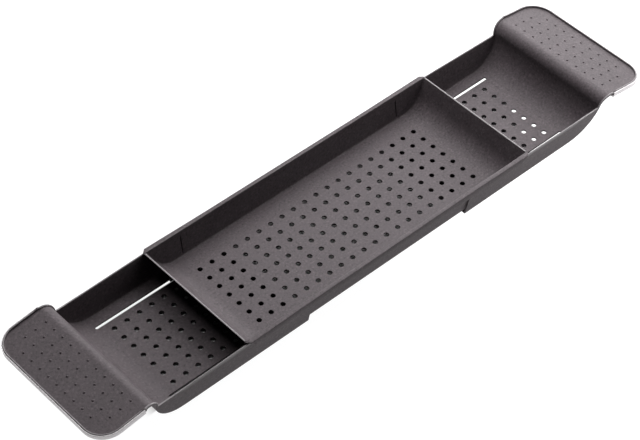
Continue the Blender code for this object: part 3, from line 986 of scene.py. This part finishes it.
    def pips(self) -> Skin:
        """The grip pips: blunt round-shouldered cones on the wing, less the two outer corner ones.

        Returns:
            All the pips, each closed above and sunk into the wing below.
        """
        skin = Skin()
        column, row = np.meshgrid(np.arange(self.pip_columns), np.arange(self.pip_rows), indexing="ij")
        corner = (column == self.pip_columns - 1) & ((row == 0) | (row == self.pip_rows - 1))
        x = self.pip_first + column[~corner] * self.pip_along * math.cos(self.tilt)
        y = (row[~corner] - (self.pip_rows - 1) / 2) * self.pip_across
        width = self.pip_radius * np.array([0.0, 1.28, 1.0, 0.8, 0.5, 0.0])[:, None]
        rise = self.pip_rise * np.array([-0.25, -0.2, 0.12, 0.74, 0.98, 1.0])[:, None]
        # The pips' tops are lightened: wear and painted highlight.
        wear_and_light = np.array([0.0, 0.0, 0.1, 0.3, 0.4, 0.4])[:, None]
        turn = 2.0 * math.pi * np.arange(self.pip_sides) / self.pip_sides
        plan_x = x[:, None, None] + width * np.cos(turn)
        plan_y = y[:, None, None] + width * np.sin(turn)
        skin.grid(self.on_wing(plan_x, plan_y, rise), wear_and_light, closed=True)
        return skin

    def wing_sheet(self, skin: Skin, border: Array, across: Array) -> None:
        """Fills one face of the wing between its edge's borders, row by row along X."""
        skin.grid(spread(border[: self.wing_rows], across))

    def skin(self) -> Skin:
        """The right-hand tray: flanks, wing's edge, perforated floor, sweep and wing, both faces.

        Returns:
            The closed skin.
        """
        skin = Skin()
        u = self.flank_stations()
        flank, wear_and_light = self.flank(u)
        rings = [skin.grid(flank, wear_and_light), skin.grid((flank * MIRROR_Y)[:, ::-1], wear_and_light[:, ::-1])]
        edge, wear_and_painted_light = self.wing_edge()
        skin.grid(edge, wear_and_painted_light)
        for side in BOTH_SIDES:
            skin.grid(np.stack([flank[-1], edge[0]]) * side)
        tiles, tile_wear = self.holes.tiles(self.hole_columns, self.walls.shell)
        skin.grid(self.floor_point(tiles), tile_wear[:, None], closed=True)
        slot, slot_wear = self.slot_rings()
        for side in BOTH_SIDES:
            skin.grid(self.floor_point(slot * side), slot_wear[:, None], closed=True)
        floor, bent = u <= 1.0 + TINY, u >= 1.0 - TINY
        even = self.wing_across()
        ends = []
        for column, height in ((0, 0.0), (-1, -self.walls.shell)):
            border = flank[:, column]
            self.floor_sides(skin, border[floor], height)
            first = border[bent][0, 1]
            line = self.floor_line(self.join, first) / first
            share = (u[bent] - 1.0)[:, None] / 3.0
            across = border[bent, 1][:, None] * mix(line, even, share)
            skin.grid(self.sheet(u[bent][:, None], across, height))
            self.wing_sheet(skin, edge[:, column], even)
            near = self.floor_line(self.inner_edge, border[0, 1])
            ends.append(self.floor_point(points(self.inner_edge, near, height)))
        skin.grid(np.stack(ends))
        for ring in rings:
            skin.ring(ring[0])
        skin.take(self.pips())
        return skin

    def make(self, end: End) -> bpy.types.Object:
        """The tray's moulding at one end."""
        return self.skin().at(end).build(f"{end.label}_tray_moulding")


@dataclass(frozen=True)
class GripPad:
    """The soft pad under a wing, with a skirt that laps up round the wing's three free edges."""

    wing: EndTray = EndTray()
    start: float = 0.3066
    gap: float = 0.0003
    thick: float = 0.0024
    skirt: float = 0.001
    lead: float = 0.0015
    top_setback: float = 0.0004
    under_round: float = 0.0011

    def path(self) -> Pair:
        """The wing's outline, started at the pad's own inner end."""
        middle, out = self.wing.wing_path()
        return points(np.maximum(middle[:, 0], self.start), middle[:, 1]), out

    def skin(self) -> Skin:
        """The pad's skirt carried round the outline, its two faces and its inner end.

        Returns:
            The closed skin.
        """
        wing, skin = self.wing, Skin()
        seat = -wing.walls.shell - self.gap
        base = seat - self.thick
        top = wing.lip_rise - self.top_setback
        soft, lead = self.skirt / 2, self.skirt + self.lead
        cosines, sines = arc(7, 0.0, 180.0)
        low_x, low_z = (self.under_round * (1.0 + value) for value in arc(6, 180.0, 270.0))
        inset = [[lead, self.skirt], soft + soft * cosines, [0.0, 0.0], low_x, [lead]]
        upright = [0.5 * (top + base), base + self.under_round]
        height = [[seat, seat], top - soft + soft * sines, upright, base + low_z, [base]]
        wear_and_light = np.repeat([0.0, 1.0, 0.0, 0.0, 0.0], [len(part) for part in inset])
        edge = wing.carry(self.path(), np.concatenate(inset), np.concatenate(height))
        numbers = skin.grid(edge, wear_and_light)
        across = wing.wing_across()
        for column in (0, -1):
            wing.wing_sheet(skin, edge[:, column], across)
        skin.grid(spread(np.stack([edge[0, 0], edge[0, -1]]), across))
        skin.ring(numbers[0])
        skin.ring(numbers[-1][::-1])
        return skin

    def make(self, end: End) -> bpy.types.Object:
        """The pad at one end."""
        return self.skin().at(end).build(f"{end.label}_grip_pad_skin")


class Value:
    """A shader socket that expressions can be written with."""

    def __init__(self, tree: "NodeTree", socket: bpy.types.NodeSocket | None) -> None:
        """Wraps a tree's socket."""
        self.tree = tree
        self.socket = socket

    def _math(self, operation: str, first: "Value | float", second: "Value | float") -> "Value":
        """A Math node on two values."""
        return self.tree.node("ShaderNodeMath", {"operation": operation}, {0: first, 1: second})

    def __add__(self, other: "Value | float") -> "Value":
        """The sum."""
        return self._math("ADD", self, other)

    __radd__ = __add__

    def __mul__(self, other: "Value | float") -> "Value":
        """The product."""
        return self._math("MULTIPLY", self, other)

    __rmul__ = __mul__

    def __sub__(self, other: "Value | float") -> "Value":
        """This value less another."""
        return self._math("SUBTRACT", self, other)

    def __rsub__(self, other: "Value | float") -> "Value":
        """Another value less this one."""
        return self._math("SUBTRACT", other, self)

    def size(self) -> "Value":
        """The value without its sign."""
        return self._math("ABSOLUTE", self, 0.0)

    def at_least(self, other: "Value | float") -> "Value":
        """The higher of two values."""
        return self._math("MAXIMUM", self, other)


class NodeTree:
    """A material's nodes, added by type, settings and inputs."""

    def __init__(self, name: str) -> None:
        """Makes a named material with an empty tree.

        Args:
            name: the material's name.
        """
        self.material = bpy.data.materials.new(name)
        self.material.use_nodes = True
        self.tree = self.material.node_tree
        self.tree.nodes.clear()

    def node(self, kind: str, settings: dict, inputs: dict, output: int | str = 0) -> Value:
        """Adds a node.

        Args:
            kind: the node's type.
            settings: attributes to set before the sockets.
            inputs: socket numbers or names, with their values or links.
            output: the socket that the returned value stands for.

        Returns:
            The chosen output as a value.
        """
        made = self.tree.nodes.new(kind)
        for key, value in settings.items():
            setattr(made, key, value)
        for key, value in inputs.items():
            if isinstance(value, Value):
                self.tree.links.new(value.socket, made.inputs[key])
            else:
                made.inputs[key].default_value = value
        return Value(self, made.outputs[output] if made.outputs else None)

    def place(self) -> Value:
        """The place on the piece."""
        return self.node("ShaderNodeTexCoord", {}, {}, "Object")

    def wear_and_light(self) -> Value:
        """The skin's own values of wear and painted light."""
        return self.node("ShaderNodeAttribute", {"attribute_name": "wear_and_painted_light"}, {}, "Fac")

    def axis(self, where: Value, letter: str) -> Value:
        """One coordinate of a place."""
        return self.node("ShaderNodeSeparateXYZ", {}, {0: where}, letter)

    def noise(self, where: Value, scale: float, detail: float, rough: float) -> Value:
        """Noise at a scale in features for each metre."""
        inputs = {"Vector": where, "Scale": scale, "Detail": detail, "Roughness": rough}
        return self.node("ShaderNodeTexNoise", {"noise_dimensions": "3D"}, inputs)

    def span(
        self, value: Value, low: float, high: float, out_low: float = 0.0, out_high: float = 1.0
    ) -> Value:
        """Spreads a range of a value over another range, with smooth ends."""
        inputs = {"Value": value, "From Min": low, "From Max": high, "To Min": out_low, "To Max": out_high}
        return self.node("ShaderNodeMapRange", {"interpolation_type": "SMOOTHSTEP"}, inputs)

    def blend(self, share: Value, first: Value | Colour, second: Value | Colour) -> Value:
        """Mixes two colours by a share."""
        return self.node("ShaderNodeMix", {"data_type": "RGBA"}, {0: share, 6: first, 7: second}, 2)

    def cover(self, body: Value, *layers: tuple[Value, Colour]) -> Value:
        """Lays colours over a body in order.

        Args:
            body: the colour underneath.
            layers: the share and the colour of each layer.

        Returns:
            The covered colour.
        """
        for share, colour in layers:
            body = self.blend(share, body, colour)
        return body

    def bump(self, height: Value, strength: float, distance: float, under: Value | None = None) -> Value:
        """Turns a height into a normal, over the normal of another bump if there is one.

        Args:
            height: the height.
            strength: share of the effect.
            distance: depth of one unit of height.
            under: the other bump's normal.

        Returns:
            The bumped normal.
        """
        inputs = {"Strength": strength, "Distance": distance, "Height": height}
        if under is not None:
            inputs["Normal"] = under
        return self.node("ShaderNodeBump", {}, inputs, "Normal")

    def finish(self, inputs: dict) -> bpy.types.Material:
        """Adds the Principled shader and the output.

        Args:
            inputs: the shader's sockets.

        Returns:
            The finished material.
        """
        shader = self.node("ShaderNodeBsdfPrincipled", {}, inputs)
        self.node("ShaderNodeOutputMaterial", {}, {"Surface": shader})
        return self.material


def grey(level: float, warmth: float = 0.0) -> Colour:
    """An opaque grey, a little red for a positive warmth."""
    return (level * (1.0 + warmth), level * (1.0 - 0.4 * warmth), level * (1.0 + 0.2 * warmth), 1.0)


@dataclass(frozen=True)
class MouldedPlastic:
    """Charcoal satin plastic: spark-eroded grain, flow shading, faint scuffs, and polished edges lightened
    as wear with a painted highlight; painted shade darkens the hole and slot walls.
    """

    name: str
    tone: float = 0.047
    warmth: float = 0.16
    roughness: float = 0.58
    gloss: float = 0.18
    index: float = 1.5
    grain_scale: float = 2600.0
    pebble_scale: float = 1300.0
    peel_scale: float = 430.0
    cloud_scale: float = 22.0
    flow_scale: float = 2.2
    dust_scale: float = 900.0
    flow_stretch: Triple = (6.0, 30.0, 30.0)
    scuff_turn: Triple = (0.0, 0.0, 0.5)
    scuff_stretch: Triple = (40.0, 900.0, 300.0)

    def shade(self, level: float) -> Colour:
        """The plastic's own colour at a multiple of its tone."""
        return grey(self.tone * level, self.warmth)

    def make(self) -> bpy.types.Material:
        """Builds the material from grain, flow, scuff and wear masks; the wear mask also carries painted
        highlight on edges and painted shade in the bores.

        Returns:
            The finished material.
        """
        tree = NodeTree(self.name)
        where, wear_and_light = tree.place(), tree.wear_and_light()
        along = tree.node("ShaderNodeMapping", {}, {"Vector": where, "Scale": self.flow_stretch})
        lines = {"Vector": where, "Rotation": self.scuff_turn, "Scale": self.scuff_stretch}
        drawn = tree.node("ShaderNodeMapping", {}, lines)
        cells = {"Vector": where, "Scale": self.pebble_scale, "Smoothness": 0.6}
        pebble = tree.node("ShaderNodeTexVoronoi", {"feature": "SMOOTH_F1"}, cells)
        grain = tree.noise(where, self.grain_scale, 2.0, 0.6)
        peel = tree.noise(where, self.peel_scale, 2.0, 0.6)
        cloud = tree.noise(where, self.cloud_scale, 4.0, 0.55)
        flow = tree.noise(along, self.flow_scale, 3.0, 0.5)
        scuff = tree.span(tree.noise(drawn, 1.0, 2.0, 0.6), 0.66, 0.78)
        dust = tree.span(tree.noise(where, self.dust_scale, 1.0, 0.5), 0.68, 0.80)
        # Edges made lighter and glossier: worn edges, with a painted highlight along them.
        edge = tree.span(wear_and_light * (0.6 + 0.8 * cloud), 0.35, 1.0)
        # Painted shade down the holes and slots, where the skin's value is below 0.
        bore_shade = tree.span(wear_and_light, 0.0, -0.6)
        pale = grey(self.tone * 1.08, self.warmth * 0.8)
        body = tree.cover(
            tree.blend(tree.span(cloud, 0.3, 0.7), self.shade(0.92), pale),
            (tree.span(flow, 0.35, 0.65) * 0.3, self.shade(1.2)),
            (tree.span(peel, 0.54, 0.70) * 0.55, self.shade(1.8)),
            (tree.span(peel, 0.46, 0.30) * 0.55, self.shade(0.4)),
            (edge * 0.85, grey(self.tone * 3.8, 0.05)),
            (scuff * 0.12, grey(self.tone * 2.6, 0.02)),
            (dust * 0.16, grey(0.2, 0.03)),
            (bore_shade * 0.85, grey(self.tone * 0.1)),
        )
        rough = tree.span(cloud, 0.25, 0.75, self.roughness - 0.03, self.roughness + 0.04)
        rough = rough + 0.06 * grain - 0.2 * edge + 0.05 * scuff
        fine = tree.bump(0.55 * grain + 0.45 * pebble, 0.3, 0.00012)
        broad = tree.bump(cloud, 0.1, 0.0006, tree.bump(peel, 0.3, 0.0004, fine))
        gloss = {"IOR": self.index, "Specular IOR Level": self.gloss}
        return tree.finish({"Base Color": body, "Roughness": rough, "Normal": broad, **gloss})


@dataclass(frozen=True)
class SoftRubber:
    """Pale soft-grip rubber: fine matte grain, speckle and a grey smudge near handled edges."""

    name: str
    tone: float = 0.68
    warmth: float = 0.03
    roughness: float = 0.72
    index: float = 1.45
    grain_scale: float = 1900.0
    speck_scale: float = 1300.0
    smudge_scale: float = 45.0

    def make(self) -> bpy.types.Material:
        """Builds the material from speckle, smudge and wear masks.

        Returns:
            The finished material.
        """
        tree = NodeTree(self.name)
        where, wear_and_light = tree.place(), tree.wear_and_light()
        grain = tree.noise(where, self.grain_scale, 3.0, 0.6)
        smudge = tree.noise(where, self.smudge_scale, 4.0, 0.6)
        speck = tree.span(tree.noise(where, self.speck_scale, 0.0, 0.5), 0.68, 0.76)
        dull, clean = grey(self.tone * 0.93, self.warmth), grey(self.tone, self.warmth)
        body = tree.cover(
            tree.blend(tree.span(smudge, 0.3, 0.7), dull, clean),
            (speck * 0.2, grey(0.3)),
            (wear_and_light * smudge * 0.2, grey(0.42, self.warmth)),
        )
        rough = self.roughness + 0.12 * (grain - 0.5) - 0.08 * wear_and_light
        normal = tree.bump(grain, 0.35, 0.00015)
        return tree.finish({"Base Color": body, "Roughness": rough, "Normal": normal, "IOR": self.index})


@dataclass(frozen=True)
class StudioFloor:
    """A light table that paints light: matte and unlit under the trays, a footprint of painted shadow, and
    glowing white all round it, brighter towards +X, which lights the caddy as painted light.
    """

    name: str = "studio_floor"
    tone: float = 0.6
    open_tone: float = 0.12
    glow: float = 0.98
    right_glow: float = 1.45
    glow_run: tuple[float, float] = (-0.05, 0.35)
    dark_left: float = 0.262
    dark_right: float = 0.2443
    dark_slant: float = 0.528
    dark_half_width: float = 0.0546
    soft: float = 0.0015
    left_soft: float = 0.03

    def make(self) -> bpy.types.Material:
        """Builds the floor's material, with a glow that starts past an oblong with one slanted end. The
        unlit oblong is painted shadow under the trays; the glow, brighter towards +X, is painted light.

        Returns:
            The finished material.
        """
        tree = NodeTree(self.name)
        where = tree.place()
        mottle = tree.noise(where, 3.0, 3.0, 0.5)
        along, across = tree.axis(where, "X"), tree.axis(where, "Y")
        past_left = self.soft / self.left_soft * (-1.0 * along - self.dark_left)
        past_end = (along - self.dark_slant * across - self.dark_right).at_least(past_left)
        past_side = across.size() - self.dark_half_width
        # Past the trays the floor glows as painted light; the unlit oblong under them is painted shadow,
        # softened at its left end.
        open_floor = tree.span(past_end.at_least(past_side), 0.0, self.soft)
        # The glow is brighter towards +X, a painted pool of light.
        bright = tree.blend(tree.span(along, *self.glow_run), grey(1.0), grey(self.right_glow))
        glow = tree.blend(open_floor, grey(0.0), bright)
        body = tree.blend(open_floor, grey(self.tone), grey(self.open_tone))
        body = tree.blend(tree.span(mottle, 0.2, 0.8) * 0.02, body, grey(0.5 * self.tone))
        light = {"Emission Color": glow, "Emission Strength": self.glow}
        return tree.finish({"Base Color": body, "Roughness": 0.9, "Specular IOR Level": 0.2, **light})


@dataclass(frozen=True)
class SoftBox:
    """A square studio light aimed at the caddy, itself out of the camera's sight."""

    name: str
    direction: Triple
    distance: float
    size: float
    power: float

    def make(self) -> None:
        """Adds the light, turned to face the caddy's middle."""
        light = bpy.data.lights.new(self.name, "AREA")
        light.shape = "SQUARE"
        light.size = self.size
        light.energy = self.power
        piece = bpy.data.objects.new(self.name, light)
        away = Vector(self.direction).normalized()
        piece.location = away * self.distance
        piece.rotation_mode = "QUATERNION"
        piece.rotation_quaternion = away.to_track_quat("Z", "Y")
        piece.visible_camera = False
        bpy.context.scene.collection.objects.link(piece)


@dataclass(frozen=True)
class Studio:
    """The floor, the lights and the camera at the photograph's angle."""

    azimuth: float = math.radians(-43.853)
    elevation: float = math.radians(46.614)
    roll: float = math.radians(1.758)
    aim: Triple = (-0.012854, 0.014459, 0.0068)
    distance: float = 2.007494
    lens: float = 115.495
    sensor: float = 36.0
    floor_z: float = -0.0025
    floor_half: float = 6.0
    floor_points: int = 9
    boxes: tuple[SoftBox, ...] = (
        SoftBox("key_softbox", (0.78, 0.42, 0.55), 1.6, 1.8, 39.0),
        SoftBox("top_softbox", (0.1, 0.45, 1.0), 2.0, 1.8, 36.0),
        SoftBox("front_softbox", (0.6, -0.45, 0.35), 0.83, 0.5, 1.7),
        SoftBox("right_softbox", (0.8, 0.38, 0.5), 1.0, 0.5, 5.0),
        SoftBox("right_end_softbox", (0.36, 0.1, 0.7), 0.8, 0.5, 3.3),
    )
    sky: float = 0.01

    def film(self) -> None:
        """Shows tones as they are, without a film curve."""
        bpy.context.scene.view_settings.view_transform = "Standard"
        bpy.context.scene.view_settings.look = "None"

    def camera(self) -> None:
        """Places the camera: back from its aim along the azimuth and elevation, then rolled."""
        side, lift = self.azimuth, self.elevation
        flat = math.cos(lift)
        back = Vector((math.sin(side) * flat, -math.cos(side) * flat, math.sin(lift)))
        right = (-back).cross(Vector((0.0, 0.0, 1.0))).normalized()
        up = right.cross(-back)
        turned = math.cos(self.roll) * right + math.sin(self.roll) * up
        risen = math.cos(self.roll) * up - math.sin(self.roll) * right
        lens = bpy.data.cameras.new("camera")
        lens.lens = self.lens
        lens.sensor_width = self.sensor
        piece = bpy.data.objects.new("camera", lens)
        place = Vector(self.aim) + back * self.distance
        piece.matrix_world = Matrix.Translation(place) @ Matrix((turned, risen, back)).transposed().to_4x4()
        bpy.context.scene.collection.objects.link(piece)
        bpy.context.scene.camera = piece

    def floor(self) -> None:
        """Lays the floor."""
        skin = Skin()
        run = np.linspace(-self.floor_half, self.floor_half, self.floor_points)
        skin.grid(points(run[:, None], run, self.floor_z))
        piece = skin.build("studio_floor")
        piece.data.materials.append(StudioFloor().make())

    def world(self) -> None:
        """Sets an even dim surround."""
        world = bpy.data.worlds.new("surround")
        world.use_nodes = True
        surround = world.node_tree.nodes["Background"].inputs
        surround["Color"].default_value = grey(1.0)
        surround["Strength"].default_value = self.sky
        bpy.context.scene.world = world

    def make(self) -> None:
        """Builds the whole studio."""
        self.floor()
        self.world()
        for box in self.boxes:
            box.make()
        self.film()
        self.camera()


def dress(piece: bpy.types.Object, node: str, body: str, material: bpy.types.Material) -> None:
    """Gives a piece its material and its place on a body, and hides the CAD node that it stands for.

    Args:
        piece: the finished piece.
        node: the CAD node that it replaces.
        body: the body that it rides on.
        material: its finish.
    """
    piece.data.materials.append(material)
    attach(piece, body)
    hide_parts(node)
    LOG.info("%s rides %s for %s: %d faces", piece.name, body, node, len(piece.data.polygons))


def main() -> None:
    """Builds every piece in order, then the studio."""
    logging.basicConfig(level=logging.INFO)
    plastic = MouldedPlastic("centre_plastic").make()
    dress(CentreTray().make(), "centre_tray", "centre", plastic)
    for end in End:
        word, body = end.label, f"{end.label}_end"
        plastic = MouldedPlastic(f"{word}_plastic").make()
        dress(EndTray().make(end), f"{word}_tray", body, plastic)
        rubber = SoftRubber(f"{word}_rubber").make()
        dress(GripPad().make(end), f"{word}_grip_pad", body, rubber)
    Studio().make()


if __name__ == "__main__":
    main()
